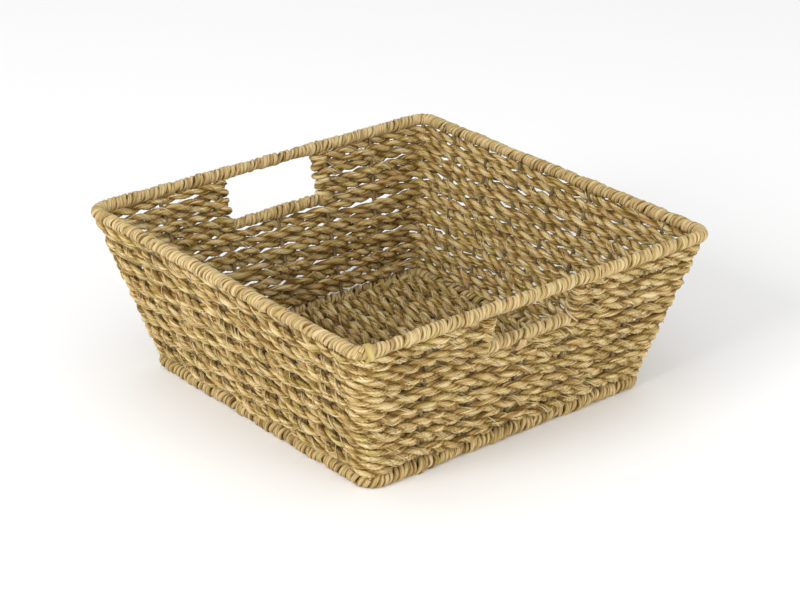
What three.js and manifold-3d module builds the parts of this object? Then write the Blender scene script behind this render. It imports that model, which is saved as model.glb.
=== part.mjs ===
// Seagrass storage basket: a steel wire frame woven with twisted seagrass cord.
// Millimetres, +Z up. The origin is the centre of the base, on the surface it stands on.
// The plain walls face -X and +X, the handle walls face -Y and +Y.

import * as THREE from 'three';
import { mergeVertices } from 'three/addons/utils/BufferGeometryUtils.js';
import Module from 'manifold-3d';

const wasm = await Module();
wasm.setup();

// Driving dimensions
const TOP_SIDE = 380; // outside of the rim rope, wall to wall
const BASE_SIDE = 305; // outside of the base rope, wall to wall
const RIM_ROPE_R = 5.4;
const BASE_ROPE_R = 6.4;
const RAIL_ROPE_R = 5.4;
const BASE_WIRE_Z = 6;
const RIM_WIRE_Z = 142.8;

// Wire frame
const RING_WIRE_R = 2.2;
const STAKE_R = 2;
const RIB_R = 2;
const RIB_Z = 8; // the ribs sit on the base wire's inner shoulder
const RIM_CORNER_R = 13;
const BASE_CORNER_R = 12;
const PLAIN_BAYS = 8; // bays between stakes in a plain wall
const RIB_COUNT = 5;
const RIB_PITCH = 49;
const SEAM_Y = 18; // where each ring's two ends are butted, on the side facing +X

// Woven walls and floor
const WEAVE_HALF = 7.6; // half the wall's thickness, measured level
const WALL_LOW_Z = 12.8;
const WALL_HIGH_Z = 137;
const FLOOR_LOW_Z = 1.6;
const FLOOR_HIGH_Z = 14.4;
const FLOOR_HALF = 139.3;
const FLOOR_CORNER_R = 8;

// Hand holes: the middle along the wall, half the width, and the rail's height.
// The front one is woven smaller and a little to one side.
const BACK_HOLE = { middle: 0, half: 48, railZ: 97.5 };
const FRONT_HOLE = { middle: -9, half: 41.5, railZ: 105.5 };
const HOLE_TO_STAKE = 7; // from a hole's side to the upright stake the weave turns back on
const HOLE_TO_RAIL_END = 4.2;
const HOLE_TO_NOTCH = 11; // from a hole's side to the end of the weave's notch for the rail
const RAIL_TO_SHOULDER = 6.5; // from the rail's height down to the foot of the weave beside it
const OUTER_STAKE_LOW = 100; // the outer stake, where it meets the base wire
const OUTER_STAKE_HIGH = 118;

const GAP = 0.3; // clearance left between pieces that touch
const ROUND = 8; // sides of a wire
const ROPE_ROUND = 12; // sides of a wrapped rope
const ROOM_ROUND = 6; // sides of the bore left for a stake or rib
const CORNER_STEPS = 3; // segments in half a rounded corner
const REACH = 600; // larger than the basket, for cutting blocks

const SEAGRASS = 0xc3ab74;
const SEAGRASS_PALE = 0xd0b97f;
const STEEL = 0x6c6a66;

// Half the centreline width of each ring, and of the sloping wall between them
const BASE_HALF = BASE_SIDE / 2 - BASE_ROPE_R;
const RIM_HALF = TOP_SIDE / 2 - RIM_ROPE_R;
const SLOPE = (RIM_HALF - BASE_HALF) / (RIM_WIRE_Z - BASE_WIRE_Z);
const wallHalf = (z) => BASE_HALF + SLOPE * (z - BASE_WIRE_Z);

// A point on the corner bend of a ring, on its diagonal
const bendPoint = (half, radius) => half - radius * (1 - Math.SQRT1_2);

// ---- Solids ----

function solidOf(geometry, matrix = new THREE.Matrix4()) {
  const bare = geometry.clone().applyMatrix4(matrix);
  bare.deleteAttribute('normal');
  bare.deleteAttribute('uv');
  const merged = mergeVertices(bare, 1e-4);
  return new wasm.Manifold(new wasm.Mesh({
    numProp: 3,
    vertProperties: new Float32Array(merged.attributes.position.array),
    triVerts: new Uint32Array(merged.index.array),
  }));
}

function geometryOf(solid) {
  const mesh = solid.getMesh();
  const geometry = new THREE.BufferGeometry();
  geometry.setAttribute('position', new THREE.BufferAttribute(mesh.vertProperties, mesh.numProp));
  geometry.setIndex(new THREE.BufferAttribute(mesh.triVerts, 1));
  geometry.computeVertexNormals();
  return geometry;
}

function rod(from, to, radius, sides = ROUND) {
  const length = from.distanceTo(to);
  const along = to.clone().sub(from).normalize();
  const turn = new THREE.Quaternion().setFromUnitVectors(new THREE.Vector3(0, 1, 0), along);
  const middle = from.clone().add(to).multiplyScalar(0.5);
  const place = new THREE.Matrix4().compose(middle, turn, new THREE.Vector3(1, 1, 1));
  return solidOf(new THREE.CylinderGeometry(radius, radius, length, sides), place);
}

// A cutter that leaves at least the gap all round a rod.
function room(from, to, radius) {
  const reach = (radius + GAP) / Math.cos(Math.PI / ROOM_ROUND);
  return rod(from, to, reach, ROOM_ROUND);
}

function block(low, high) {
  const size = high.clone().sub(low);
  const middle = low.clone().add(high).multiplyScalar(0.5);
  const place = new THREE.Matrix4().makeTranslation(middle);
  return solidOf(new THREE.BoxGeometry(size.x, size.y, size.z), place);
}

const at = (x, y, z) => new THREE.Vector3(x, y, z);

// Points round the bend of a level ring's first corner, between two headings.
function bendPoints(half, radius, z, fromTurn, toTurn) {
  const points = [];
  const steps = Math.round(Math.abs(toTurn - fromTurn) / (Math.PI / 4)) * CORNER_STEPS;
  for (let i = 0; i <= steps; i += 1) {
    const turn = fromTurn + (toTurn - fromTurn) * (i / steps);
    const x = half - radius + radius * Math.cos(turn);
    const y = half - radius + radius * Math.sin(turn);
    points.push(at(x, y, z));
  }
  return points;
}

const turned = (points, quarter) => points.map(
  (p) => p.clone().applyAxisAngle(at(0, 0, 1), quarter * Math.PI / 2),
);

// A run of straight and bent wire: the curve passes each station in turn.
class WireRun extends THREE.Curve {
  constructor(stations) {
    super();
    this.stations = stations;
  }

  getPoint(t) {
    const last = this.stations.length - 1;
    const place = Math.min(t * last, last);
    const i = Math.min(Math.floor(place), last - 1);
    return this.stations[i].clone().lerp(this.stations[i + 1], place - i);
  }

  getPointAt(u) {
    return this.getPoint(u);
  }

  getTangentAt(u) {
    const last = this.stations.length - 1;
    const i = Math.round(u * last);
    const before = this.stations[Math.max(i - 1, 0)];
    const here = this.stations[i];
    const after = this.stations[Math.min(i + 1, last)];
    const arriving = here.clone().sub(before).normalize();
    const leaving = after.clone().sub(here).normalize();
    return arriving.add(leaving).normalize();
  }
}

function circleShape(outer, inner) {
  const shape = new THREE.Shape();
  shape.absarc(0, 0, outer, 0, Math.PI * 2, false);
  if (inner > 0) {
    const bore = new THREE.Path();
    bore.absarc(0, 0, inner, 0, Math.PI * 2, true);
    shape.holes.push(bore);
  }
  return shape;
}

function sweep(stations, outer, inner, sides) {
  const run = new WireRun(stations);
  const geometry = new THREE.ExtrudeGeometry(circleShape(outer, inner), {
    steps: stations.length - 1,
    extrudePath: run,
    curveSegments: sides / 2,
    bevelEnabled: false,
  });
  return solidOf(geometry);
}

// ---- Wire frame ----

// The whole ring, its two ends butted clear of every stake and rib.
function ringStations(half, radius, z) {
  const start = [at(half, SEAM_Y + GAP / 2, z)];
  const bend = bendPoints(half, radius, z, 0, Math.PI / 2);
  const round = [0, 1, 2, 3].flatMap((quarter) => turned(bend, quarter));
  return [...start, ...round, at(half, SEAM_Y - GAP / 2, z)];
}

const rimStations = ringStations(RIM_HALF, RIM_CORNER_R, RIM_WIRE_Z);
const baseStations = ringStations(BASE_HALF, BASE_CORNER_R, BASE_WIRE_Z);

const rimWire = sweep(rimStations, RING_WIRE_R, 0, ROUND);
const baseWire = sweep(baseStations, RING_WIRE_R, 0, ROUND);
const rimWireRoom = sweep(rimStations, RING_WIRE_R + GAP, 0, ROUND);
const baseWireRoom = sweep(baseStations, RING_WIRE_R + GAP, 0, ROUND);

// Where a stake meets the two rings. A plain wall's stakes fan out evenly; a
// handle wall has one in the middle, one each side of the hole and two outer ones.
function stakeLine(wall, index) {
  let lowA = BASE_HALF * 2 * index / PLAIN_BAYS;
  let highA = RIM_HALF * 2 * index / PLAIN_BAYS;
  if (wall.hole) {
    const outer = Math.abs(index) > 1;
    const beside = wall.hole.middle + index * (wall.hole.half + HOLE_TO_STAKE);
    lowA = outer ? Math.sign(index) * OUTER_STAKE_LOW : beside;
    highA = outer ? Math.sign(index) * OUTER_STAKE_HIGH : beside;
  }
  return turned([at(BASE_HALF, lowA, BASE_WIRE_Z), at(RIM_HALF, highA, RIM_WIRE_Z)], wall.side);
}

function postLine(side) {
  const low = bendPoint(BASE_HALF, BASE_CORNER_R);
  const high = bendPoint(RIM_HALF, RIM_CORNER_R);
  return turned([at(low, low, BASE_WIRE_Z), at(high, high, RIM_WIRE_Z)], side);
}

function pointAtHeight([low, high], z) {
  return low.clone().lerp(high, (z - low.z) / (high.z - low.z));
}

// `side` counts quarter turns from +X; `most` is the last stake's index each way.
const SIDES = [
  { name: 'right', side: 0, hole: null, most: 3 },
  { name: 'back', side: 1, hole: BACK_HOLE, most: 2 },
  { name: 'left', side: 2, hole: null, most: 3 },
  { name: 'front', side: 3, hole: FRONT_HOLE, most: 2 },
];

function uprightLines(wall) {
  const lines = [];
  for (let index = -wall.most; index <= wall.most; index += 1) {
    const line = stakeLine(wall, index);
    const underHole = wall.hole && index === 0;
    lines.push(underHole ? [line[0], pointAtHeight(line, wall.hole.railZ)] : line);
  }
  return lines;
}

function railLine(wall) {
  const left = pointAtHeight(stakeLine(wall, -1), wall.hole.railZ);
  const right = pointAtHeight(stakeLine(wall, 1), wall.hole.railZ);
  return [left, right];
}

function railWire(wall) {
  const [left, right] = railLine(wall);
  let wire = rod(left, right, RING_WIRE_R);
  for (const index of [-1, 1]) {
    wire = wire.subtract(room(...stakeLine(wall, index), STAKE_R));
  }
  return wire;
}

const ribY = (index) => (index - (RIB_COUNT - 1) / 2) * RIB_PITCH;
const ribLine = (index) => [
  at(-BASE_HALF, ribY(index), RIB_Z),
  at(BASE_HALF, ribY(index), RIB_Z),
];

const rib = (index) => rod(...ribLine(index), RIB_R).subtract(baseWireRoom);

// Everything upright, and every rib, with room round it
const uprightRooms = [];
for (const wall of SIDES) {
  uprightLines(wall).forEach((line) => uprightRooms.push({
    side: wall.side,
    solid: room(...line, STAKE_R),
  }));
}
const postRooms = SIDES.map((wall) => room(...postLine(wall.side), STAKE_R));
const ribRooms = [];
for (let index = 0; index < RIB_COUNT; index += 1) {
  ribRooms.push(room(...ribLine(index), RIB_R));
}

function clearOfRibs(solid) {
  return ribRooms.reduce((cut, ribRoom) => cut.subtract(ribRoom), solid);
}

// A stake or post, its ends hollowed to sit against the ring wires.
function upright(line, wall) {
  let wire = rod(...line, STAKE_R).subtract(baseWireRoom).subtract(rimWireRoom);
  if (wall.hole) {
    wire = wire.subtract(room(...railLine(wall), RING_WIRE_R));
  }
  return clearOfRibs(wire);
}

function clearOfUprights(solid, side) {
  let cut = solid;
  for (const stake of uprightRooms) {
    if (stake.side === side) {
      cut = cut.subtract(stake.solid);
    }
  }
  return cut.subtract(postRooms[side]).subtract(postRooms[(side + 3) % 4]);
}

// ---- Seagrass bindings ----

// One side of a ring with the whole bend at each end, to be cut at the diagonals.
function sideStations(half, radius, z) {
  const arriving = bendPoints(half, radius, z, -Math.PI / 2, 0);
  arriving.forEach((p) => p.setY(p.y - 2 * (half - radius)));
  const leaving = bendPoints(half, radius, z, 0, Math.PI / 2);
  return [...arriving, ...leaving];
}

// One wall's quarter of the plan, short of both diagonals.
function quarterBlock(side) {
  const inset = GAP * Math.SQRT1_2;
  const shape = new THREE.Shape();
  shape.moveTo(inset, 0);
  shape.lineTo(inset + REACH, REACH);
  shape.lineTo(inset + REACH, -REACH);
  const geometry = new THREE.ExtrudeGeometry(shape, { depth: REACH, bevelEnabled: false });
  return solidOf(geometry, new THREE.Matrix4().makeRotationZ(side * Math.PI / 2));
}

function ringBinding(wall, half, radius, z, ropeR) {
  const stations = turned(sideStations(half, radius, z), wall.side);
  const tube = sweep(stations, ropeR, RING_WIRE_R + GAP, ROPE_ROUND);
  return clearOfUprights(tube.intersect(quarterBlock(wall.side)), wall.side);
}

function rimBinding(wall) {
  return ringBinding(wall, RIM_HALF, RIM_CORNER_R, RIM_WIRE_Z, RIM_ROPE_R);
}

// The base rope is pressed flat where the basket stands on it.
function baseBinding(wall) {
  const rope = ringBinding(wall, BASE_HALF, BASE_CORNER_R, BASE_WIRE_Z, BASE_ROPE_R);
  const ground = block(at(-REACH, -REACH, -REACH), at(REACH, REACH, 0));
  return clearOfRibs(rope).subtract(ground);
}

function railBinding(wall) {
  const [left, right] = railLine(wall);
  const middle = left.clone().lerp(right, 0.5);
  const ropeHalf = wall.hole.half + HOLE_TO_RAIL_END;
  const along = right.clone().sub(left).normalize().multiplyScalar(ropeHalf);
  const ends = [middle.clone().sub(along), middle.clone().add(along)];
  let rope = sweep(ends, RAIL_ROPE_R, RING_WIRE_R + GAP, ROPE_ROUND);
  for (const stake of uprightRooms) {
    if (stake.side === wall.side) {
      rope = rope.subtract(stake.solid);
    }
  }
  return rope;
}

// ---- Woven walls ----

function roundedSquare(half, radius) {
  const shape = new THREE.Shape();
  const inner = half - radius;
  shape.moveTo(half, -inner);
  shape.absarc(inner, inner, radius, 0, Math.PI / 2, false);
  shape.absarc(-inner, inner, radius, Math.PI / 2, Math.PI, false);
  shape.absarc(-inner, -inner, radius, Math.PI, Math.PI * 1.5, false);
  shape.absarc(inner, -inner, radius, Math.PI * 1.5, Math.PI * 2, false);
  return shape;
}

// A block with rounded corners whose walls lean out with the basket's walls.
function leaningBlock(offset, cornerR, lowZ, highZ) {
  const lowHalf = wallHalf(lowZ) + offset;
  const highHalf = wallHalf(highZ) + offset;
  const geometry = new THREE.ExtrudeGeometry(roundedSquare(lowHalf, cornerR), {
    depth: highZ - lowZ,
    steps: 1,
    curveSegments: CORNER_STEPS * 2,
    bevelEnabled: false,
  });
  const position = geometry.attributes.position;
  for (let i = 0; i < position.count; i += 1) {
    if (position.getZ(i) > 0) {
      const grown = highHalf / lowHalf;
      position.setX(i, position.getX(i) * grown);
      position.setY(i, position.getY(i) * grown);
    }
  }
  geometry.translate(0, 0, lowZ);
  return solidOf(geometry);
}

// The shell of all four walls; the inside cut runs past its top and bottom.
function wallShell() {
  const outer = leaningBlock(WEAVE_HALF, BASE_CORNER_R, WALL_LOW_Z, WALL_HIGH_Z);
  const inner = leaningBlock(-WEAVE_HALF, BASE_CORNER_R / 2, WALL_LOW_Z - 1, WALL_HIGH_Z + 1);
  return outer.subtract(inner);
}

const shell = wallShell();
const wallQuarter = (wall) => clearOfUprights(
  shell.intersect(quarterBlock(wall.side)),
  wall.side,
);

// A block given along the wall: `a` runs along it, z is height.
function wallBlock(wall, lowA, highA, lowZ, highZ) {
  const plain = new THREE.BoxGeometry(REACH, highA - lowA, highZ - lowZ);
  const place = new THREE.Matrix4().makeRotationZ(wall.side * Math.PI / 2);
  place.multiply(new THREE.Matrix4().makeTranslation(
    REACH / 2,
    (lowA + highA) / 2,
    (lowZ + highZ) / 2,
  ));
  return solidOf(plain, place);
}

function lowerWeave(wall) {
  return wallQuarter(wall).intersect(
    wallBlock(wall, -REACH, REACH, 0, wall.hole.railZ - RAIL_TO_SHOULDER - GAP),
  );
}

// The weave beside a hand hole, notched round the end of the rail rope.
function shoulderWeave(wall, direction) {
  const { middle, half, railZ } = wall.hole;
  const inner = middle + direction * half;
  const outer = direction * REACH;
  const notch = middle + direction * (half + HOLE_TO_NOTCH);
  const side = wallBlock(
    wall,
    Math.min(inner, outer),
    Math.max(inner, outer),
    railZ - RAIL_TO_SHOULDER,
    WALL_HIGH_Z + 1,
  );
  const railRoom = wallBlock(
    wall,
    Math.min(middle, notch),
    Math.max(middle, notch),
    0,
    railZ + RAIL_ROPE_R + GAP,
  );
  return wallQuarter(wall).intersect(side).subtract(railRoom);
}

function floorWeave() {
  const geometry = new THREE.ExtrudeGeometry(roundedSquare(FLOOR_HALF, FLOOR_CORNER_R), {
    depth: FLOOR_HIGH_Z - FLOOR_LOW_Z,
    steps: 1,
    curveSegments: CORNER_STEPS,
    bevelEnabled: false,
  });
  geometry.translate(0, 0, FLOOR_LOW_Z);
  return clearOfRibs(solidOf(geometry));
}

// ---- Scene ----

const steel = new THREE.MeshStandardMaterial({ color: STEEL, roughness: 0.45, metalness: 0.9 });
const grass = new THREE.MeshStandardMaterial({ color: SEAGRASS, roughness: 0.85, metalness: 0 });
const pale = new THREE.MeshStandardMaterial({
  color: SEAGRASS_PALE,
  roughness: 0.8,
  metalness: 0,
});

const basket = new THREE.Group();

function place(name, solid, material) {
  const mesh = new THREE.Mesh(geometryOf(solid), material);
  mesh.name = name;
  basket.add(mesh);
}

place('rim_wire', rimWire, steel);
place('base_wire', baseWire, steel);
for (const wall of SIDES) {
  const post = upright(postLine(wall.side), { hole: null });
  place(`corner_post_${wall.side + 1}`, post, steel);
  uprightLines(wall).forEach((line, index) => {
    place(`stake_${wall.name}_${index + 1}`, upright(line, wall), steel);
  });
}
for (let index = 0; index < RIB_COUNT; index += 1) {
  place(`floor_rib_${index + 1}`, rib(index), steel);
}

for (const wall of SIDES) {
  place(`rim_binding_${wall.name}`, rimBinding(wall), pale);
  place(`base_binding_${wall.name}`, baseBinding(wall), pale);
}

for (const wall of SIDES) {
  if (wall.hole) {
    place(`rail_wire_${wall.name}`, railWire(wall), steel);
    place(`rail_binding_${wall.name}`, railBinding(wall), pale);
    place(`weave_${wall.name}_lower`, lowerWeave(wall), grass);
    place(`weave_${wall.name}_shoulder_a`, shoulderWeave(wall, -1), grass);
    place(`weave_${wall.name}_shoulder_b`, shoulderWeave(wall, 1), grass);
  } else {
    place(`weave_${wall.name}`, wallQuarter(wall), grass);
  }
}
place('weave_floor', floorWeave(), grass);

export default basket;
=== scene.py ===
"""Looks of a seagrass storage basket, woven round its packed wire frame.

Lengths are millimetres, except the studio's, and meshes are written in metres. A
wall is counted by quarter turns: 0 faces +X, 1 faces +Y, 2 faces -X and 3 faces -Y.
On a wall, s runs along it from its middle, and `out` is the distance outward from
its stakes.
"""
import math

import bpy
import numpy as np
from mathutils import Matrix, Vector


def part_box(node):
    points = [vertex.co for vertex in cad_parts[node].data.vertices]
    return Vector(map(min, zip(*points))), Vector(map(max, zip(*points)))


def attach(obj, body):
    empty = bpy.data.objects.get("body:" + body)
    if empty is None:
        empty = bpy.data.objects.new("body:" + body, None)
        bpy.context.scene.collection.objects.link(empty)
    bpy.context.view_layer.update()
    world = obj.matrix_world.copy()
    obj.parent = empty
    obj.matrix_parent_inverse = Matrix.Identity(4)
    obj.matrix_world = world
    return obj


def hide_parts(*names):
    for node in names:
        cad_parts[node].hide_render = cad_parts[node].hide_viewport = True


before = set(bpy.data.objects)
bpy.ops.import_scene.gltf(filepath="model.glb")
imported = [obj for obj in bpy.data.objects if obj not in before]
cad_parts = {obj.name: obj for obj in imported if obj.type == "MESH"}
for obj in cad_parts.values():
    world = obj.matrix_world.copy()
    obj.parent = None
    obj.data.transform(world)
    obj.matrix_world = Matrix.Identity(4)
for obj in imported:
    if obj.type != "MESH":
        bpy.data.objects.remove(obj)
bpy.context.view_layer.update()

MM = 0.001
SEED = 20

# Camera
CAMERA_AZIMUTH = -39.23
CAMERA_ELEVATION = 24.41
CAMERA_DISTANCE = 1925
CAMERA_TARGET = (2.7, -2.2, 70.5)
CAMERA_LENS = 101.2

# Corner bends of the two rings
RIM_CORNER = 13
BASE_CORNER = 12

# Twisted cord
PLIES = 2
PLY_RADIUS = 2.9
PLY_OFFSET = 1.85  # from the cord's centreline to each ply's
PLY_BLADES = 7  # blades that show round a ply
TWIST_PITCH = 36  # length of cord in which a ply goes once round
PLY_COUNTER_TWIST = 1.6  # turns of a ply's blades against each turn of the cord
PLY_SIDES = 28
CORD_STEP = 2.6
# Painted shade: the next five darken a cord in the creases between its plies and where its sides
# meet its neighbours, and lighten its top
CREST_LOW = 2.4  # distance from the cord's centreline in the creases between its plies
CREST_HIGH = 4.6  # and on top of them
EDGE_FROM = 2.7  # beyond this distance to either side a cord's top gets painted shade towards its neighbours
EDGE_WIDTH = 1.6
EDGE_SHADE = 0.75
BLADE_CREASE = 0.78  # radius in the crease between two blades, as a share of the ply's
BLADE_RIDGE = 0.27  # how much further out a blade's middle stands
LOOKS_SPACING = 55  # length of strand in which its lightness and hue change
LOOKS_FADE = 20  # over this length from each end they fade to the average
FRAY_SPACING = 11  # length of cord for each blade end that has worked loose
FRAY_THICK = 0.38  # half a loose blade's thickness
FRAY_SPRING = 1.8  # the most a loose blade's end springs up from where the rest of it lies
FRAY_SUNK = 0.15  # how deep that is in the cord
FRAY_SIDES = 5

# Weave
COURSES = 16
COURSE_LOW = 16.3  # height of the first course's centreline
COURSE_PITCH = 7.85
WEAVE_SWING = 2.6  # how far a course swings out and in at each stake
COURSE_LIFT = 0.5  # how far a course wanders up and down
COURSE_DRIFT = 0.3  # and out and in
COURSE_TWIST = 0.8  # how far its twist gains or lags, in radians
COURSE_SWELL = 0.06  # how much its thickness varies, as a share
CORNER_SWING = 0.6  # every course passes outside the corner posts
RAIL_ROOM = 7.4  # least height from a course that runs under a rail to the rail's wire
HOLE_TURN_R = 4.0  # of the cord's turns round the stake beside a hand hole
HOLE_TURNS = 1.5
HOLE_TURN_SIZE = 0.88  # the cord is drawn tighter in those turns
HOLE_TURN_STEPS = 25
HOLE_REACH = 9  # distance from that stake in which a course swings out to meet its turns
STAKE_REACH = 8  # distance from a stake or rib in which the cord is pressed flat
STAKE_SQUEEZE = 0.18  # how much flatter it is there
FLOOR_SQUEEZE = 0.15
FLOOR_BEND_SQUASH = 0.95
FLOOR_CORDS = 33
FLOOR_SWING = 2.2
FLOOR_SHIFT = 0.35  # how far a cord wanders sideways
FLOOR_TWIST_SPACING = 50  # length of cord in which its twist gains or lags
FLOOR_TWIST = 0.5  # by this much, in radians

# Wrapped ropes
WRAP_PITCH = 4.3
WRAP_STRANDS = 3  # wound side by side, which makes the turns lean
WRAP_WIDE = 2.2  # half the width of the wound strand, along the rope
WRAP_THICK = 1.7  # half its thickness
WRAP_BUNCHING = 0.9  # how far the turns bunch up or spread along the rope
WRAP_STRAY = 0.75  # how far each strand strays from its neighbours
WRAP_SWELL = 0.3  # how far the turns stand out or sink in, together
WRAP_LOOSE = 0.38  # and each on its own
WRAP_SETTLE = 12  # at each end, the turns grow even over one part in this many of the rope
WRAP_RIDGE = 0.82  # radius in the crease between the strand's blades, as a share
WRAP_RIDGE_MORE = 0.3  # how much further out each blade's middle stands
WRAP_WIDTH_VARIES = 0.2
WRAP_GRAIN = 5  # length of fibre pattern for each radian round the rope
WRAP_TWIST = 0.31  # turns of the strand's own blades for each turn round the rope
RIBBON_SIDES = 16
KNOT_WALL = "front"  # a greener strand is tied round one end of this side's rim
KNOT_FROM_CORNER = 6
KNOT_TINT = (1.0, 8.0)  # lightness and hue
BASE_ROUGH = 1.5  # the base rope is rubbed, which leaves its turns uneven its turns are also made darker than the other ropes'
BASE_TINT = (-1.6, 0)  # and duller
RAIL_MORE = 4  # the rail's turns go on this far past each end of its rope
TAB_WALL = "front"  # a blade end shows under this wall's rail
TAB_FROM_MIDDLE = -8
TAB_DROP = 10.5
TAB_HALF_WIDTH = 4.6
TAB_HALF_THICK = 0.8
TAB_SIDES = 12
TURN_STEPS = 30  # sections in each turn of a wrap

# Seagrass colour: how far each thing moves a point's place between the tones
BLADE_TONE = 0.44
STREAK_TONE = 0.72
SHADE_TONE = 0.05
SPECK_TONE = 0.16
PAINTED_BLADE_EDGE_SHADE = 0.22  # painted shade: darker with distance from a blade's middle, towards the creases between blades
# painted light on cord tops and painted shade in creases and towards neighbouring cords
PAINTED_CREST_TONE = 0.42
CREST_MIDDLE = 0.72  # a point with this much painted crest light gets neither painted light nor painted shade
HUE_TINT = 0.09  # a blade with a high tint is green, and one with a low tint rusty
GREEN_FROM = 0.86
RUST_FROM = 0.09
TINT_GAIN = 3.0
MOST_GREEN = 0.42
MOST_RUST = 0.38
SEAGRASS_RELIEF = 0.7  # scale of the bump
STEEL_RELIEF = 0.1

# Studio, in metres and watts
LIGHT_AIM = (0, 0, 0.05)
KEY_PLACE = (-2.6, -0.3, 1.5)
KEY_SIZE = 1.3
KEY_POWER = 56
FILL_PLACE = (0.4, -2.7, 0.5)
FILL_SIZE = 1.4
FILL_POWER = 36
SKY_STRENGTH = 0.84
GROUND_GREY = 0.92


# ---- The frame's sizes ----


def span(node):
    low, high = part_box(node)
    return np.array(low) / MM, np.array(high) / MM


rim_low, rim_high = span("rim_wire")
base_low, base_high = span("base_wire")
RING_R = (rim_high[2] - rim_low[2]) / 2
RIM_Z = (rim_high[2] + rim_low[2]) / 2
BASE_Z = (base_high[2] + base_low[2]) / 2
RIM_HALF = rim_high[0] - RING_R
BASE_HALF = base_high[0] - RING_R
SLOPE = (RIM_HALF - BASE_HALF) / (RIM_Z - BASE_Z)
LEAN = math.atan(SLOPE)
WALL_NAMES = ("right", "back", "left", "front")
HANDLE_WALLS = (1, 3)
STAKE_R = 2.0
WIRE_NODES = ("rim_wire", "base_wire", "rail_wire", "stake_", "corner_post", "floor_rib")


def rise(z):
    return (z - BASE_Z) / (RIM_Z - BASE_Z)


def wall_half(z):
    return BASE_HALF + SLOPE * (z - BASE_Z)


def corner_radius(z):
    return BASE_CORNER + (RIM_CORNER - BASE_CORNER) * rise(z)


def half_length(z):
    """Along a wall from its middle to the corner's diagonal, round half the bend."""
    return wall_half(z) - corner_radius(z) * (1 - math.pi / 4)


def turned(points, side):
    """The same points turned from the +X wall to another wall."""
    angle = side * math.pi / 2
    c, s = round(math.cos(angle)), round(math.sin(angle))
    x, y, z = points[..., 0], points[..., 1], points[..., 2]
    return np.stack([c * x - s * y, s * x + c * y, z], -1)


def stake_line(side, number):
    """Where a stake crosses the base and rim levels, along its wall."""
    corners = turned(np.stack(span(f"stake_{WALL_NAMES[side]}_{number}")), -side)
    near, far = corners[:, 1].min(), corners[:, 1].max()
    radius = (far - near) / 2 if near * far < 0 else STAKE_R
    if abs(near) > abs(far):
        return far - radius, near + radius
    return near + radius, far - radius


STAKES = [
    [stake_line(side, number + 1) for number in range(5 if side in HANDLE_WALLS else 7)]
    for side in range(4)
]


def uprights(side, z):
    """Places along a wall, at height z, of its stakes and of the post at each end."""
    end = half_length(z)
    stakes = [low + (high - low) * rise(z) for low, high in STAKES[side]]
    return np.array([-end, *stakes, end])


# ---- Tubes ----


class Wander:
    """A smooth seeded wander round a closed course; u counts walls from 0 to 4."""

    def __init__(self, rng, size, per_wall):
        self.knots = rng.normal(0, size, 4 * per_wall)
        self.per_wall = per_wall

    def __call__(self, u):
        place = np.mod(u, 4) * self.per_wall
        i = np.floor(place).astype(int)
        t = (1 - np.cos(np.pi * (place - i))) / 2
        count = len(self.knots)
        return self.knots[i % count] * (1 - t) + self.knots[(i + 1) % count] * t


def unit(v):
    return v / np.linalg.norm(v, axis=-1, keepdims=True)


def across(v, axis):
    """The part of v square to a unit axis, at unit length."""
    return unit(v - (v * axis).sum(-1, keepdims=True) * axis)


def distance_along(path):
    steps = np.linalg.norm(np.diff(path, axis=0), axis=1)
    return np.concatenate([[0], np.cumsum(steps)])


def around(count):
    """Even angles round a section."""
    return np.arange(count) * 2 * np.pi / count


def placed(path, x, y, x_axis, y_axis):
    """A ring of points for each section of a path, from flat coordinates."""
    return path[:, None] + x[..., None] * x_axis[:, None] + y[..., None] * y_axis[:, None]


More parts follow.
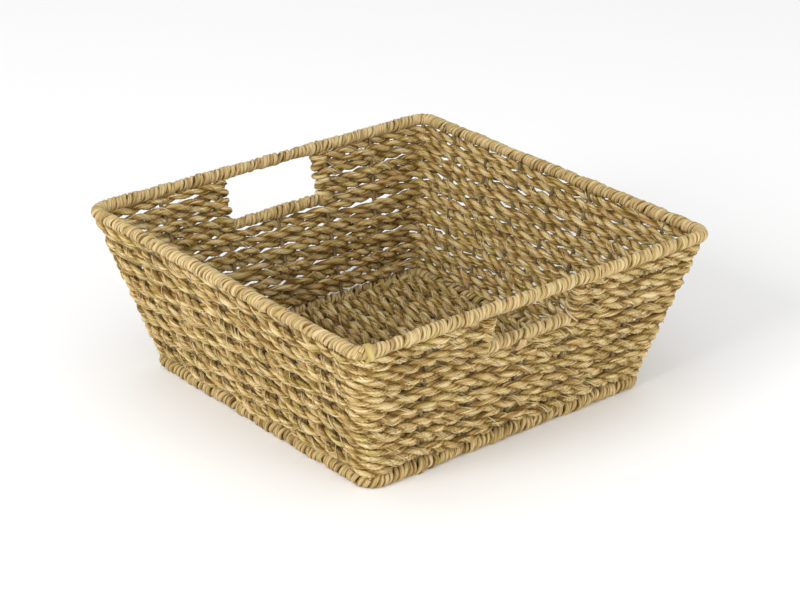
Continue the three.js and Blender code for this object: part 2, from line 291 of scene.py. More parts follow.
class Strands:
    """Closed tubes gathered into one mesh, with what the seagrass material reads."""

    def __init__(self):
        self.points, self.quads, self.caps = [], [], []
        self.fibre, self.shade, self.hue, self.painted_crest_light = [], [], [], []
        self.count = 0

    def tube(self, grid, fibre, shade, hue, painted_crest_light):
        """grid holds a ring of points for each section, turning right-handed."""
        sections, sides = grid.shape[:2]
        index = self.count + np.arange(sections * sides).reshape(sections, sides)
        here, there = index[:-1], index[1:]
        quad = [here, np.roll(here, -1, 1), np.roll(there, -1, 1), there]
        self.quads.append(np.stack(quad, -1).reshape(-1, 4))
        self.caps += [index[0][::-1], index[-1]]
        self.points.append(grid.reshape(-1, 3))
        self.fibre.append(fibre.reshape(-1, 3))
        self.shade.append(np.broadcast_to(shade, grid.shape[:2]).ravel())
        self.hue.append(np.broadcast_to(hue, grid.shape[:2]).ravel())
        self.painted_crest_light.append(np.broadcast_to(painted_crest_light, grid.shape[:2]).ravel())
        self.count += sections * sides

    def piece(self, name, material, slot, *nodes):
        mesh = bpy.data.meshes.new(name)
        points = np.concatenate(self.points) * MM
        quads = np.concatenate(self.quads)
        corners = np.concatenate([quads.ravel(), *self.caps])
        quad_starts = np.arange(len(quads)) * 4
        cap_sizes = np.array([len(cap) for cap in self.caps])
        cap_starts = len(quads) * 4 + np.cumsum(cap_sizes) - cap_sizes
        starts = np.concatenate([quad_starts, cap_starts])
        mesh.vertices.add(len(points))
        mesh.vertices.foreach_set("co", points.astype(np.float32).ravel())
        mesh.loops.add(len(corners))
        mesh.loops.foreach_set("vertex_index", corners.astype(np.int32))
        mesh.polygons.add(len(starts))
        mesh.polygons.foreach_set("loop_start", starts.astype(np.int32))
        mesh.polygons.foreach_set("use_smooth", np.arange(len(starts)) < len(quads))
        mesh.update(calc_edges=True)
        self.attribute(mesh, "fibre", "FLOAT_VECTOR", "vector", self.fibre)
        self.attribute(mesh, "shade", "FLOAT", "value", self.shade)
        self.attribute(mesh, "hue", "FLOAT", "value", self.hue)
        # painted light on tops and painted shade in creases, read by the seagrass material
        self.attribute(mesh, "painted_crest_light", "FLOAT", "value", self.painted_crest_light)
        mesh.materials.append(material)
        made = bpy.data.objects.new(name, mesh)
        bpy.context.scene.collection.objects.link(made)
        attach(made, "root")
        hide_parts(*nodes)

    @staticmethod
    def attribute(mesh, name, kind, field, values):
        layer = mesh.attributes.new(name, kind, "POINT")
        layer.data.foreach_set(field, np.concatenate(values).astype(np.float32).ravel())


def ply_radius(blade, s, start):
    """A ply's outline: flat blades laid side by side, with a crease between each two."""
    uneven = 0.3 * np.sin(s / 31 + start[0]) + 0.25 * np.sin(s / 13 + start[1])
    ridge = np.abs(np.sin(PLY_BLADES / 2 * (blade + uneven) + start[2]))
    fuller = 0.06 * np.cos(2 * blade + start[1] + s / 47)
    return BLADE_CREASE + BLADE_RIDGE * np.sqrt(ridge) + fuller


class Make:
    """What one cord is laid up from, so that it can go on unchanged round a corner."""

    def __init__(self, rng, run=0):
        self.outline = rng.uniform(0, 2 * np.pi, (PLIES, 3))
        self.start = rng.uniform(0, 1000, PLIES)
        self.run = run


class Lay:
    """A cord's path, the two axes square to it, and how flat it is pressed."""

    def __init__(self, path, normals, phase, size, squash):
        self.path, self.phase, self.size, self.squash = path, phase, size, squash
        along = unit(np.gradient(path, axis=0))
        self.normal = across(normals, along)
        self.side = np.cross(along, self.normal)
        self.s = distance_along(path)

    def radial(self, turn, part=slice(None)):
        normal, side = self.normal[part], self.side[part]
        return np.cos(turn)[:, None] * normal + np.sin(turn)[:, None] * side

    def pressed(self, grid, part=slice(None)):
        """The grid pressed flat, with each point's painted crest light: 0, full painted shade, in
        a crease, 1 on top, and lower towards its neighbours.
        """
        offset = grid - self.path[part][:, None]
        normal, side = self.normal[part][:, None], self.side[part][:, None]
        thick = (offset * normal).sum(-1, keepdims=True)
        wide = (offset * side).sum(-1, keepdims=True)
        reach = np.hypot(thick, wide)[..., 0] / self.size[part][:, None]
        # painted light on top, painted shade in the creases between plies and towards
        # neighbouring cords
        painted_crest_light = np.clip((reach - CREST_LOW) / (CREST_HIGH - CREST_LOW), 0, 1)
        painted_neighbour_shade = np.clip((np.abs(wide[..., 0]) - EDGE_FROM) / EDGE_WIDTH, 0, 1)
        painted_crest_light = painted_crest_light * (1 - EDGE_SHADE * painted_neighbour_shade)
        flat = self.squash[part][:, None, None]
        grid = grid + (flat - 1) * thick * normal
        return grid + (1 / np.sqrt(flat) - 1) * wide * side, painted_crest_light


def cord(strands, path, normals, phase, size, squash, rng, make=None):
    """Plies twisted round a path. `phase` turns from each normal towards T x N."""
    lay = Lay(path, normals, phase, size, squash)
    make = make or Make(rng)
    run = make.run + lay.s
    for ply in range(PLIES):
        radial = lay.radial(phase + ply * 2 * np.pi / PLIES)
        centre = path + PLY_OFFSET * size[:, None] * radial
        heading = unit(np.gradient(centre, axis=0))
        radial = across(radial, heading)
        other = np.cross(heading, radial)
        angle = around(PLY_SIDES)
        blade = angle + (PLY_COUNTER_TWIST * phase)[:, None]
        radius = PLY_RADIUS * size[:, None] * ply_radius(blade, run[:, None], make.outline[ply])
        x = np.maximum(radius * np.cos(angle), -PLY_OFFSET)
        y = radius * np.sin(angle)
        grid, painted_crest_light = lay.pressed(placed(centre, x, y, radial, other))
        along = make.start[ply] + run[:, None] + 0 * blade
        fibre = np.stack([np.cos(blade), np.sin(blade), along], -1)
        shade, hue = strand_looks(lay.s, rng)
        strands.tube(grid, fibre, shade[:, None], hue[:, None], painted_crest_light)
    for _ in range(int(lay.s[-1] / FRAY_SPACING)):
        loose_blade(strands, lay, rng)


def loose_blade(strands, lay, rng):
    """One thin blade lying on the cord, with an end that has sprung a little away."""
    steps = rng.integers(6, 13)
    first = rng.integers(1, max(len(lay.path) - steps - 1, 2))
    part = slice(first, first + steps)
    if first + steps >= len(lay.path):
        return
    t = np.linspace(0, 1, steps)
    if rng.uniform() < 0.5:
        t = t[::-1]
    stray = rng.normal(0, 0.35) + rng.normal(0, 0.45) * t
    turn = lay.phase[part] + 2 * np.pi * rng.integers(0, PLIES) / PLIES + stray
    radial = lay.radial(turn, part)
    spring = rng.uniform(0.2, FRAY_SPRING) * t ** 3 - FRAY_SUNK
    reach = (PLY_OFFSET + PLY_RADIUS) * lay.size[part] + spring
    centre = lay.path[part] + reach[:, None] * radial
    heading = unit(np.gradient(centre, axis=0))
    radial = across(radial, heading)
    other = np.cross(heading, radial)
    angle = around(FRAY_SIDES)
    taper = np.sqrt(np.clip(1 - t ** 4, 0.02, 1) * np.clip(6 * (1 - np.abs(2 * t - 1)), 0.15, 1))
    x = (FRAY_THICK * taper)[:, None] * np.cos(angle)
    y = (rng.uniform(0.6, 1.0) * taper)[:, None] * np.sin(angle)
    grid, _ = lay.pressed(placed(centre, x, y, radial, other), part)
    grid[..., 2] = np.maximum(grid[..., 2], 0)
    start = rng.uniform(0, 1000)
    run = start + lay.s[part][:, None] + 0 * x
    fibre = np.stack([np.cos(angle) + 0 * x, np.sin(angle) + 0 * x, run], -1)
    # painted light: a loose blade gets the full lightness of a cord's top, with no painted crease
    # shade
    strands.tube(grid, fibre, rng.normal(0.8, 1), rng.normal(0, 1), 1.0)


def strand_looks(s, rng):
    """Lightness and hue of one ply as its blades run out and new ones are laid in."""
    knots = int(s[-1] / LOOKS_SPACING) + 3
    places = np.linspace(0, s[-1], knots)
    ends = np.minimum(1, np.minimum(s, s[-1] - s) / LOOKS_FADE)
    shade = np.interp(s, places, rng.normal(0, 1, knots)) * ends
    hue = np.interp(s, places, rng.normal(0, 1, knots)) * ends
    return shade, hue


# ---- Woven walls ----


def round_corner(s, half, bend):
    """Along a side and round half the bend at each end, with the way outward there."""
    flat = half - bend
    turn = np.maximum((np.abs(s) - flat) / bend, 0)
    sign = np.sign(s)
    x = flat + bend * np.cos(turn)
    y = sign * (np.minimum(np.abs(s), flat) + bend * np.sin(turn))
    return x, y, np.cos(turn), sign * np.sin(turn)


def wall_points(side, s, z, out):
    """Points on a wall and round its corners, with the wall's outward normals."""
    x, y, away_x, away_y = round_corner(s, wall_half(z), corner_radius(z))
    level = math.cos(LEAN)
    normal = np.stack([level * away_x, level * away_y], -1)
    normal = np.concatenate([normal, np.full((len(s), 1), -math.sin(LEAN))], 1)
    point = np.stack([x, y, z + 0 * s], -1) + out[:, None] * normal
    return turned(point, side), turned(normal, side)


def wall_axes(side):
    """Up the slope of a wall, and outward from it."""
    up = np.array([math.sin(LEAN), 0, math.cos(LEAN)])
    outward = np.array([math.cos(LEAN), 0, -math.sin(LEAN)])
    return turned(up, side), turned(outward, side)


class Course:
    """One level round of cord; all its walls share one twist and one wander.

    Each course's plies lie over the creases of the one below, so they nest.
    """

    turns = round(4 * (RIM_HALF + BASE_HALF) / TWIST_PITCH)

    def __init__(self, number):
        self.number = number
        self.z = COURSE_LOW + COURSE_PITCH * number
        self.end = half_length(self.z)
        self.sign = 1 if number % 2 == 0 else -1
        rng = np.random.default_rng([SEED, 1, number])
        self.start = number * np.pi / PLIES + rng.normal(0, 0.25)
        self.lift = Wander(rng, COURSE_LIFT, 11)
        self.drift = Wander(rng, COURSE_DRIFT, 11)
        self.twist = Wander(rng, COURSE_TWIST, 7)
        self.swell = Wander(rng, COURSE_SWELL, 12)
        self.make = Make(rng)

    def place(self, side, s):
        return side + (s / self.end + 1) / 2

    def route(self, side, s):
        """Path, normals, squash, size and phase along one wall."""
        u = self.place(side, s)
        stations = uprights(side, self.z)
        i = np.clip(np.searchsorted(stations, s) - 1, 0, len(stations) - 2)
        t = (s - stations[i]) / (stations[i + 1] - stations[i])
        swings = WEAVE_SWING * self.sign * (-1.0) ** np.arange(len(stations))
        swings[0] = swings[-1] = CORNER_SWING
        ease = (1 - np.cos(np.pi * t)) / 2
        out = swings[i] * (1 - ease) + swings[i + 1] * ease + self.drift(u)
        height = self.z + self.lift(u)
        path, normals = wall_points(side, s, height, out)
        near = np.abs(s[:, None] - stations).min(1)
        squash = 1 - STAKE_SQUEEZE * np.exp(-((near / STAKE_REACH) ** 2))
        phase = self.start + 2 * np.pi * self.turns * u / 4 + self.twist(u)
        return path, normals, squash, 1 + self.swell(u), phase


def stations_between(low, high):
    """Even steps from low to high, and one beyond each end, where cords overlap."""
    count = max(int(round(abs(high - low) / CORD_STEP)), 4)
    step = (high - low) / count
    return low + step * np.arange(-1, count + 2)


def course_cord(strands, course, side):
    s = stations_between(-course.end, course.end)
    path, normals, squash, size, phase = course.route(side, s)
    rng = np.random.default_rng([SEED, 2, course.number, side])
    course.make.run = 2 * course.end * side
    cord(strands, path, normals, phase, size, squash, rng, course.make)


def stake_beside_hole(course, direction):
    """Its place along the wall, and how far out the course's turns round it start."""
    place = 4 if direction > 0 else 2
    out = HOLE_TURN_R * course.sign * (-1) ** place
    return place, out


def swung(path, s, stake, out, outward):
    """A course's path, moved so that it meets its turns round the stake beside a hole."""
    extra = out - WEAVE_SWING * np.sign(out)
    return path + (extra * np.exp(-(((s - stake) / HOLE_REACH) ** 2)))[:, None] * outward


def hole_turns(side, stake, direction, lower, upper, out):
    """Round the stake beside a hand hole, rising from one course to the next."""
    turn = np.linspace(0, 2 * np.pi * HOLE_TURNS, HOLE_TURN_STEPS)[1:-1]
    share = np.clip(turn / (2 * np.pi) - 0.25, 0, 1)
    z = lower.z + (upper.z - lower.z) * share
    s = stake + direction * -HOLE_TURN_R * np.sin(turn)
    return wall_points(side, s, z, out * np.cos(turn))[0]


def shoulder_cord(strands, lower, upper, side, direction):
    """Comes from the corner, winds round the hole's stake and goes back one course up."""
    place, out = stake_beside_hole(lower, direction)
    stake = uprights(side, (lower.z + upper.z) / 2)[place]
    go = stations_between(direction * lower.end, stake)[:-1]
    back = stations_between(stake, direction * upper.end)[1:]
    path_a, _, squash_a, size_a, phase_a = lower.route(side, go)
    path_b, _, squash_b, size_b, phase_b = upper.route(side, back)
    up, outward = wall_axes(side)
    path_a = swung(path_a, go, stake, out, outward)
    path_b = swung(path_b, back, stake, -out, outward)
    bend = hole_turns(side, stake, direction, lower, upper, out)
    path = np.concatenate([path_a, bend, path_b])
    normals = np.cross(up, unit(np.gradient(path, axis=0)))
    size = np.concatenate([size_a, np.full(len(bend), HOLE_TURN_SIZE), size_b])
    squash = np.concatenate([squash_a, np.ones(len(bend)), squash_b])
    opening, closing = -phase_a[1], phase_b[-2] + np.pi
    if direction < 0:
        opening, closing = phase_a[1] + np.pi, -phase_b[-2]
    phase = twist_between(distance_along(path), opening, closing)
    rng = np.random.default_rng([SEED, 3, lower.number, side, direction + 1])
    cord(strands, path, normals, phase, size, squash, rng)


def twist_between(length, opening, closing):
    """Phases from one to another, in whole turns more that keep close to the twist pitch."""
    wanted = 2 * np.pi * length[-1] / TWIST_PITCH
    share = (length - length[1]) / (length[-2] - length[1])
    gap = (closing - opening) % (2 * np.pi)
    total = gap + 2 * np.pi * round((wanted - gap) / (2 * np.pi))
    return opening + total * share


def lone_shoulder_cord(strands, course, side, direction):
    """The top course where an odd one is left: it ends wound round the hole's stake."""
    place, out = stake_beside_hole(course, direction)
    stake = uprights(side, course.z)[place]
    go = stations_between(direction * course.end, stake)[:-1]
    path, _, squash, size, phase = course.route(side, go)
    up, outward = wall_axes(side)
    path = swung(path, go, stake, out, outward)
    bend = hole_turns(side, stake, direction, course, course, out)
    path = np.concatenate([path, bend])
    normals = np.cross(up, unit(np.gradient(path, axis=0)))
    opening = -phase[1] if direction > 0 else phase[1] + np.pi
    length = distance_along(path)
    phase = opening + 2 * np.pi * (length - length[1]) / TWIST_PITCH
    size = np.concatenate([size, np.full(len(bend), HOLE_TURN_SIZE)])
    squash = np.concatenate([squash, np.ones(len(bend))])
    rng = np.random.default_rng([SEED, 3, course.number, side, direction + 1])
    cord(strands, path, normals, phase, size, squash, rng)


# ---- Floor ----


def floor_cords(strands, first, last, half, rib_z):
    """Cords side by side along Y, over and under the ribs, joined end to end."""
    pitch = 2 * half / FLOOR_CORDS
    end = half - 2 - pitch / 2
    rib_gap = span("floor_rib_4")[0][1] - span("floor_rib_3")[0][1]
    wander = np.random.default_rng([SEED, 4, first])
    points, squash = [], []
    for number in range(first, last):
        way = 1 if (number - first) % 2 == 0 else -1
        x = -half + pitch * (number + 0.5)
        y = np.linspace(-end, end, int(2 * end / CORD_STEP)) * way
        sign = 1 if number % 2 == 0 else -1
        z = rib_z + sign * FLOOR_SWING * np.cos(np.pi * y / rib_gap)
        shift = np.interp(y, np.linspace(-end, end, 9), wander.normal(0, FLOOR_SHIFT, 9))
        points.append(np.stack([x + shift, y, z], -1))
        near = np.abs((y + rib_gap / 2) % rib_gap - rib_gap / 2)
        squash.append(1 - FLOOR_SQUEEZE * np.exp(-((near / STAKE_REACH) ** 2)))
        if number < last - 1:
            turn = np.linspace(0, np.pi, 8)[1:-1]
            level = (z[-1] - rib_z) * np.cos(turn) + rib_z
            bend_x = x + pitch / 2 - pitch / 2 * np.cos(turn)
            bend_y = way * (end + 0.9 * pitch / 2 * np.sin(turn))
            points.append(np.stack([bend_x, bend_y, level], -1))
            squash.append(np.full(len(turn), FLOOR_BEND_SQUASH))
    path = np.concatenate(points)
    size = np.ones(len(path))
    length = distance_along(path)
    knots = int(length[-1] / FLOOR_TWIST_SPACING)
    lags = wander.normal(0, FLOOR_TWIST, knots)
    drift = np.interp(length, np.linspace(0, length[-1], knots), lags)
    phase = 2 * np.pi * length / TWIST_PITCH + drift
    up = np.tile(np.array([0.0, 0.0, 1.0]), (len(path), 1))
    rng = np.random.default_rng([SEED, 5, first])
    cord(strands, path, up, phase, size, np.concatenate(squash), rng)


# ---- Wrapped ropes ----


def wandering(rng, share, knots, size):
    """A seeded zigzag along a rope, `share` running from 0 to 1."""
    return np.interp(share, np.linspace(0, 1, knots), rng.normal(0, size, knots))


def wrap(strands, route, length, rope_r, rng, middle=0.0, rough=1.0, tint=(0, 0)):
    """Strands wound side by side round a rope. route(s) gives its centre and two axes."""
    turns = max(round(length / WRAP_PITCH / WRAP_STRANDS), 1)
    share = np.linspace(0, 1, turns * TURN_STEPS + 1)
    ends = np.minimum(1, WRAP_SETTLE * np.minimum(share, 1 - share)) * rough
    bunching = wandering(rng, share, 2 * turns, WRAP_BUNCHING)
    swelling = wandering(rng, share, turns, WRAP_SWELL)
    for strand in range(WRAP_STRANDS):
        theta = 2 * np.pi * turns * share
        angle = theta - np.pi / 2 + 2 * np.pi * strand / WRAP_STRANDS
        stray = wandering(rng, share, 5 * turns, WRAP_STRAY)
        s = middle - length / 2 + length * share + (bunching + stray) * ends
        loose = (swelling + wandering(rng, share, 5 * turns, WRAP_LOOSE)) * ends
        wound_strand(strands, route, s, angle, rope_r - WRAP_THICK + loose, rng, tint)


def wound_strand(strands, route, s, angle, reach, rng, tint=(0, 0)):
    centre, level, up = route(s)
    radial = np.cos(angle)[:, None] * level + np.sin(angle)[:, None] * up
    path = centre + reach[:, None] * radial
    heading = unit(np.gradient(path, axis=0))
    radial = across(radial, heading)
    other = np.cross(heading, radial)
    section = around(RIBBON_SIDES)
    share = np.linspace(0, 1, len(s))
    width = WRAP_WIDE * (1 + wandering(rng, share, len(s) // 7, WRAP_WIDTH_VARIES))
    blade = section + (WRAP_TWIST * angle)[:, None]
    ridge = WRAP_RIDGE + WRAP_RIDGE_MORE * np.sqrt(np.abs(np.sin(2.5 * blade)))
    x = WRAP_THICK * ridge * np.cos(section)
    y = width[:, None] * ridge * np.sin(section)
    grid = placed(path, x, y, radial, other)
    grid[..., 2] = np.maximum(grid[..., 2], 0)
    run = angle * WRAP_GRAIN + rng.uniform(0, 1000)
    fibre = np.stack([np.cos(blade), np.sin(blade), run[:, None] + 0 * blade], -1)
    shade, hue = strand_looks(run - run[0], rng)
    shade, hue = shade + tint[0], hue + tint[1]
    # painted shade: each turn darker towards both its edges, where it meets the next turn,
    # lightest along its middle
    painted_crest_light = 1 - 0.7 * np.abs(np.sin(section)) ** 1.5 + 0 * blade
    strands.tube(grid, fibre, shade[:, None], hue[:, None], painted_crest_light)


def tab(strands, side, s, rail_z, rope_r):
    """A flat blade end that comes down from under the rail over the first course."""
    t = np.linspace(0, 1, 12)
    z = rail_z + 1 - TAB_DROP * t
    out = rope_r + 1.2 - 1.6 * t + 1.4 * np.sin(np.pi * t)
    path, normals = wall_points(side, s - 3 * t, z, out)
    along = unit(np.gradient(path, axis=0))
    level = np.cross(along, normals)
    angle = around(TAB_SIDES)
    width = TAB_HALF_WIDTH * np.sqrt(np.clip(1 - (1.06 * t - 0.1) ** 6, 0.03, 1))
    x = TAB_HALF_THICK * np.cos(angle) * (1 + 0.2 * np.cos(3 * angle)) + 0 * t[:, None]
    y = width[:, None] * np.sin(angle)
    grid = placed(path, x, y, normals, level)
    fibre = np.stack([x, y / 2, 40 * t[:, None] + 0 * x], -1)
    # painted light: the tab gets nearly the full lightness of a cord's top
    strands.tube(grid, fibre, 2.0, -5.0, 0.9)


def knot(strands, route, s, rope_r, rng):
    """A greener strand tied round the rim with two turns, one over the other."""
    theta = np.linspace(0, 4 * np.pi, 60)
    share = theta / theta[-1]
    place = s + 1.6 * np.sin(theta / 2)
    reach = rope_r - 0.8 + 0.8 * np.sin(np.pi * share)
    wound_strand(strands, route, place, theta, reach, rng, KNOT_TINT)


def ring_route(side, half, bend, z):
    """Centre line of one side of a ring, between its diagonals."""
    def route(s):
        x, y, away_x, away_y = round_corner(s, half, bend)
        centre = np.stack([x, y, z + 0 * s], -1)
        level = np.stack([away_x, away_y, 0 * s], -1)
        up = np.tile(np.array([0.0, 0.0, 1.0]), (len(s), 1))
        return turned(centre, side), turned(level, side), up

    return route


# ---- Materials ----


def srgb(r, g, b):
    """A colour given on the 0 to 255 display scale, as Blender's linear values."""
    def linear(v):
        v = v / 255
        return v / 12.92 if v <= 0.04045 else ((v + 0.055) / 1.055) ** 2.4
    return (linear(r), linear(g), linear(b), 1)


def math_node(tree, operation, a, b):
    node = tree.nodes.new("ShaderNodeMath")
    node.operation = operation
    for socket, value in zip(node.inputs, (a, b)):
        if isinstance(value, (int, float)):
            socket.default_value = value
        else:
            tree.links.new(value, socket)
    return node.outputs[0]


def stretched(tree, vector, scale):
    node = tree.nodes.new("ShaderNodeVectorMath")
    node.operation = "MULTIPLY"
    tree.links.new(vector, node.inputs[0])
    node.inputs[1].default_value = scale
    return node.outputs[0]


def noise(tree, vector, scale, detail=2.0):
    node = tree.nodes.new("ShaderNodeTexNoise")
    node.inputs["Scale"].default_value = scale
    node.inputs["Detail"].default_value = detail
    tree.links.new(vector, node.inputs["Vector"])
    return node.outputs[0]


def attribute(tree, name, output):
    node = tree.nodes.new("ShaderNodeAttribute")
    node.attribute_name = name
    return node.outputs[output]


def ramp(tree, value, stops):
    node = tree.nodes.new("ShaderNodeValToRGB")
    elements = node.color_ramp.elements
    while len(elements) < len(stops):
        elements.new(0.5)
    for element, (place, colour) in zip(elements, stops):
        element.position = place
        element.color = colour
    tree.links.new(value, node.inputs[0])
    return node.outputs[0]


def mixed(tree, factor, a, b):
    node = tree.nodes.new("ShaderNodeMix")
    node.data_type = "RGBA"
    tree.links.new(factor, node.inputs["Factor"])
    for name, value in (("A", a), ("B", b)):
        socket = next(x for x in node.inputs if x.name == name and x.type == "RGBA")
        if isinstance(value, tuple):
            socket.default_value = value
        else:
            tree.links.new(value, socket)
    return next(x for x in node.outputs if x.type == "RGBA")


def scaled(tree, value, factor):
    return math_node(tree, "MULTIPLY", value, factor)


def added(tree, a, b):
    return math_node(tree, "ADD", a, b)


def kept_between(tree, value, low, high):
    return math_node(tree, "MINIMUM", math_node(tree, "MAXIMUM", value, low), high)


def bumped(tree, shader, height, strength, depth):
    """Relief from a height; `depth` is its scale in millimetres."""
    bump = tree.nodes.new("ShaderNodeBump")
    bump.inputs["Strength"].default_value = strength
    bump.inputs["Distance"].default_value = depth * MM
    tree.links.new(height, bump.inputs["Height"])
    tree.links.new(bump.outputs["Normal"], shader.inputs["Normal"])


def blade_tone(tree, blades, streak, speck):
    """Lightness: each blade's own, its streaks, the cord's shade, painted shade towards each
    blade's edges, and painted shade in creases with painted light on tops.
    """
    tone = scaled(tree, blades["own"], BLADE_TONE)
    tone = added(tree, tone, scaled(tree, streak, STREAK_TONE))
    tone = added(tree, tone, scaled(tree, attribute(tree, "shade", "Fac"), SHADE_TONE))
    tone = added(tree, tone, scaled(tree, speck, SPECK_TONE))
    # painted shade towards the creases between blades
    tone = math_node(tree, "SUBTRACT", tone, scaled(tree, blades["distance"], PAINTED_BLADE_EDGE_SHADE))
    # painted light on cord tops and painted shade in creases and towards neighbouring cords
    painted_crest_light = math_node(tree, "SUBTRACT", attribute(tree, "painted_crest_light", "Fac"), CREST_MIDDLE)
    return added(tree, tone, scaled(tree, painted_crest_light, PAINTED_CREST_TONE))


def tinted(tree, colour, blades, green, rust):
    """A few blades are greener and a few rustier than the rest."""
    hue = scaled(tree, attribute(tree, "hue", "Fac"), HUE_TINT)
    tint = added(tree, blades["tint"], hue)
    greenness = scaled(tree, math_node(tree, "SUBTRACT", tint, GREEN_FROM), TINT_GAIN)
    rustiness = scaled(tree, math_node(tree, "SUBTRACT", RUST_FROM, tint), TINT_GAIN)
    colour = mixed(tree, kept_between(tree, greenness, 0.0, MOST_GREEN), colour, green)
    return mixed(tree, kept_between(tree, rustiness, 0.0, MOST_RUST), colour, rust)


def blade_cells(tree, fibre):
    """Long thin cells along a strand, one for each blade."""
    cells = tree.nodes.new("ShaderNodeTexVoronoi")
    cells.inputs["Scale"].default_value = 1.0
    tree.links.new(stretched(tree, fibre, (1.7, 1.7, 0.024)), cells.inputs["Vector"])
    split = tree.nodes.new("ShaderNodeSeparateColor")
    tree.links.new(cells.outputs["Color"], split.inputs[0])
    own, tint = split.outputs[0], split.outputs[1]
    return {"own": own, "tint": tint, "distance": cells.outputs["Distance"]}


def seagrass(name, stops, green, rust):
    """Flat dried blades: each has its own colour, with fine streaks along it."""
    material = bpy.data.materials.new(name)
    material.use_nodes = True
    tree = material.node_tree
    shader = tree.nodes["Principled BSDF"]
    fibre = attribute(tree, "fibre", "Vector")
    blades = blade_cells(tree, fibre)
    streak = noise(tree, stretched(tree, fibre, (3.4, 3.4, 0.06)), 1.0, 3.0)
    speck = noise(tree, stretched(tree, fibre, (2.0, 2.0, 0.5)), 1.0, 2.0)

    colour = ramp(tree, blade_tone(tree, blades, streak, speck), stops)
    tree.links.new(tinted(tree, colour, blades, green, rust), shader.inputs["Base Color"])
    tree.links.new(added(tree, scaled(tree, streak, 0.35), 0.5), shader.inputs["Roughness"])
    shader.inputs["Specular IOR Level"].default_value = 0.22
    shader.inputs["Sheen Weight"].default_value = 0.04
    height = added(tree, streak, scaled(tree, blades["distance"], -0.6))
    height = added(tree, height, scaled(tree, speck, 0.45))
    bumped(tree, shader, height, 0.85, SEAGRASS_RELIEF)
    return material


def steel():
    """Dull drawn wire with faint draw lines and a little brown in its scratches."""
    material = bpy.data.materials.new("steel_wire")
    material.use_nodes = True
    tree = material.node_tree
    shader = tree.nodes["Principled BSDF"]
    place = tree.nodes.new("ShaderNodeTexCoord").outputs["Object"]
    patches = noise(tree, place, 90.0, 4.0)
    colour = ramp(tree, patches, [(0.35, srgb(104, 86, 54)), (0.7, srgb(142, 124, 90))])
    tree.links.new(colour, shader.inputs["Base Color"])
    tree.links.new(added(tree, scaled(tree, patches, 0.3), 0.3), shader.inputs["Roughness"])
    shader.inputs["Metallic"].default_value = 0.35
    bumped(tree, shader, noise(tree, place, 900.0, 2.0), 0.3, STEEL_RELIEF)
    return material


# ---- Build ----


def courses_under_rail(courses, name):
    low, high = span(f"rail_wire_{name}")
    rail_z = (low[2] + high[2]) / 2
    return sum(course.z < rail_z - RAIL_ROOM for course in courses)


def plain_wall_pieces(courses, side, name, material):
    half = len(courses) // 2
    for part, some in (("lower", courses[:half]), ("upper", courses[half:])):
        strands = Strands()
        for course in some:
            course_cord(strands, course, side)
        strands.piece(f"woven_{name}_{part}", material, "seagrass_weave", f"weave_{name}")


def handle_wall_pieces(courses, side, name, material):
    under = courses_under_rail(courses, name)
    strands = Strands()
    for course in courses[:under]:
        course_cord(strands, course, side)
    strands.piece(f"woven_{name}_lower", material, "seagrass_weave", f"weave_{name}_lower")
    for direction, letter in ((-1, "a"), (1, "b")):
        strands = Strands()
        for number in range(under, COURSES - 1, 2):
            lower, upper = courses[number], courses[number + 1]
            shoulder_cord(strands, lower, upper, side, direction)
        if (COURSES - under) % 2 == 1:
            lone_shoulder_cord(strands, courses[-1], side, direction)
        node = f"weave_{name}_shoulder_{letter}"
        strands.piece(f"woven_{name}_shoulder_{letter}", material, "seagrass_weave", node)


def wall_pieces(material):
    courses = [Course(number) for number in range(COURSES)]
    for side, name in enumerate(WALL_NAMES):
        make = handle_wall_pieces if side in HANDLE_WALLS else plain_wall_pieces
        make(courses, side, name, material)


def floor_pieces(material):
    half = span("weave_floor")[1][0]
    rib_low, rib_high = span("floor_rib_3")
    rib_z = (rib_low[2] + rib_high[2]) / 2
    third = FLOOR_CORDS // 3
    for letter, first in (("a", 0), ("b", third), ("c", 2 * third)):
        strands = Strands()
        floor_cords(strands, first, first + third, half, rib_z)
        strands.piece(f"woven_floor_{letter}", material, "seagrass_weave", "weave_floor")


def rim_wrap(side, name, material):
    low, high = span(f"rim_binding_{name}")
    rope_r = (high[2] - low[2]) / 2
    strands = Strands()
    route = ring_route(side, RIM_HALF, RIM_CORNER, RIM_Z)
    rng = np.random.default_rng([SEED, 6, side])
    wrap(strands, route, 2 * half_length(RIM_Z), rope_r, rng)
    if name == KNOT_WALL:
        knot(strands, route, KNOT_FROM_CORNER - half_length(RIM_Z), rope_r, rng)
    strands.piece(f"rim_wrap_{name}", material, "seagrass_binding", f"rim_binding_{name}")


def base_wrap(side, name, material):
    rope_r = span(f"base_binding_{name}")[1][2] - BASE_Z
    strands = Strands()
    route = ring_route(side, BASE_HALF, BASE_CORNER, BASE_Z)
    rng = np.random.default_rng([SEED, 7, side])
    wrap(strands, route, 2 * half_length(BASE_Z), rope_r, rng, 0.0, BASE_ROUGH, BASE_TINT)
    strands.piece(f"base_wrap_{name}", material, "seagrass_binding", f"base_binding_{name}")


def rail_wrap(side, name, material):
    low, high = span(f"rail_binding_{name}")
    rope_r = (high[2] - low[2]) / 2
    z = (high[2] + low[2]) / 2
    strands = Strands()
    route = ring_route(side, wall_half(z), RIM_CORNER, z)
    rng = np.random.default_rng([SEED, 8, side])
    middle = turned((low + high) / 2, -side)[1]
    wrap(strands, route, high[0] - low[0] + 2 * RAIL_MORE, rope_r, rng, middle)
    if name == TAB_WALL:
        tab(strands, side, middle + TAB_FROM_MIDDLE, z, rope_r)
    strands.piece(f"rail_wrap_{name}", material, "seagrass_binding", f"rail_binding_{name}")


def binding_pieces(material):
    for side, name in enumerate(WALL_NAMES):
        rim_wrap(side, name, material)
        base_wrap(side, name, material)
    for side in HANDLE_WALLS:
        rail_wrap(side, WALL_NAMES[side], material)


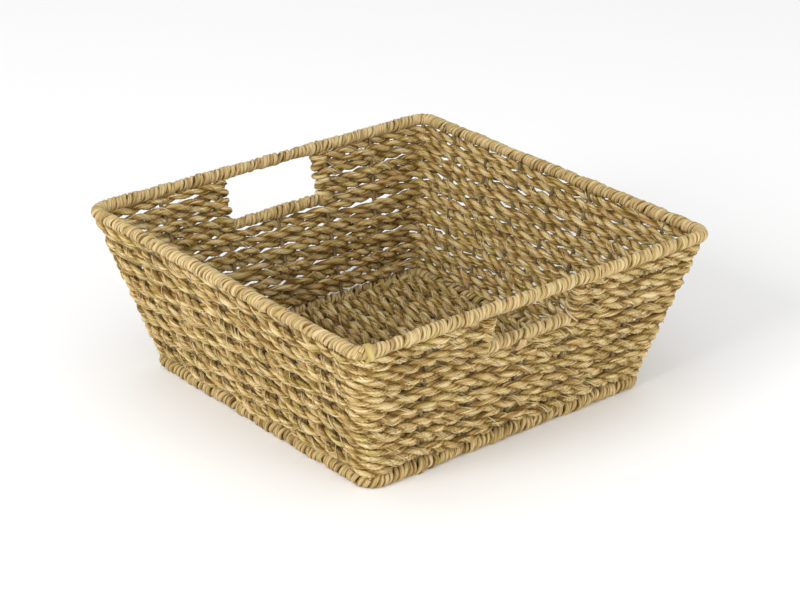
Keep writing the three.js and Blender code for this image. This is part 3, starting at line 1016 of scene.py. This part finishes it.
def wire_looks(material):
    for name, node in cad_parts.items():
        if name.startswith(WIRE_NODES):
            for place in node.material_slots:
                place.material = material


# ---- Studio ----


def camera():
    data = bpy.data.cameras.new("camera")
    made = bpy.data.objects.new("camera", data)
    bpy.context.scene.collection.objects.link(made)
    turn, tilt = math.radians(CAMERA_AZIMUTH), math.radians(CAMERA_ELEVATION)
    back = Vector((
        math.sin(turn) * math.cos(tilt),
        -math.cos(turn) * math.cos(tilt),
        math.sin(tilt),
    ))
    made.location = (Vector(CAMERA_TARGET) + back * CAMERA_DISTANCE) * MM
    made.rotation_mode = "QUATERNION"
    made.rotation_quaternion = (-back).to_track_quat("-Z", "Y")
    data.sensor_width = 36
    data.lens = CAMERA_LENS
    data.clip_end = 100
    bpy.context.scene.camera = made


def area_light(name, place, size, power):
    data = bpy.data.lights.new(name, "AREA")
    data.shape = "SQUARE"
    data.size = size
    data.energy = power
    made = bpy.data.objects.new(name, data)
    bpy.context.scene.collection.objects.link(made)
    made.location = place
    made.rotation_mode = "QUATERNION"
    made.rotation_quaternion = (Vector(LIGHT_AIM) - Vector(place)).to_track_quat("-Z", "Y")


def ground():
    bpy.ops.mesh.primitive_plane_add(size=30, location=(0, 0, 0))
    made = bpy.context.object
    made.name = "studio_floor"
    white = bpy.data.materials.new("studio_floor")
    white.use_nodes = True
    shader = white.node_tree.nodes["Principled BSDF"]
    shader.inputs["Base Color"].default_value = (GROUND_GREY, GROUND_GREY, GROUND_GREY, 1)
    shader.inputs["Roughness"].default_value = 0.9
    made.data.materials.append(white)


def studio():
    ground()
    world = bpy.data.worlds.new("studio")
    world.use_nodes = True
    sky = world.node_tree.nodes["Background"]
    sky.inputs["Color"].default_value = (1, 1, 1, 1)
    sky.inputs["Strength"].default_value = SKY_STRENGTH
    bpy.context.scene.world = world
    area_light("key", KEY_PLACE, KEY_SIZE, KEY_POWER)
    area_light("fill", FILL_PLACE, FILL_SIZE, FILL_POWER)
    bpy.context.scene.view_settings.view_transform = "Standard"


camera()
weave_material = seagrass(
    "seagrass_weave",
    [
        (0.24, srgb(104, 76, 28)),
        (0.45, srgb(156, 127, 68)),
        (0.64, srgb(192, 165, 110)),
        (0.84, srgb(216, 196, 150)),
    ],
    srgb(164, 154, 70),
    srgb(166, 112, 62),
)
binding_material = seagrass(
    "seagrass_binding",
    [
        (0.22, srgb(112, 84, 36)),
        (0.42, srgb(158, 131, 79)),
        (0.62, srgb(188, 163, 113)),
        (0.90, srgb(210, 190, 145)),
    ],
    srgb(182, 172, 78),
    srgb(178, 124, 70),
)
wall_pieces(weave_material)
floor_pieces(weave_material)
binding_pieces(binding_material)
wire_looks(steel())
studio()
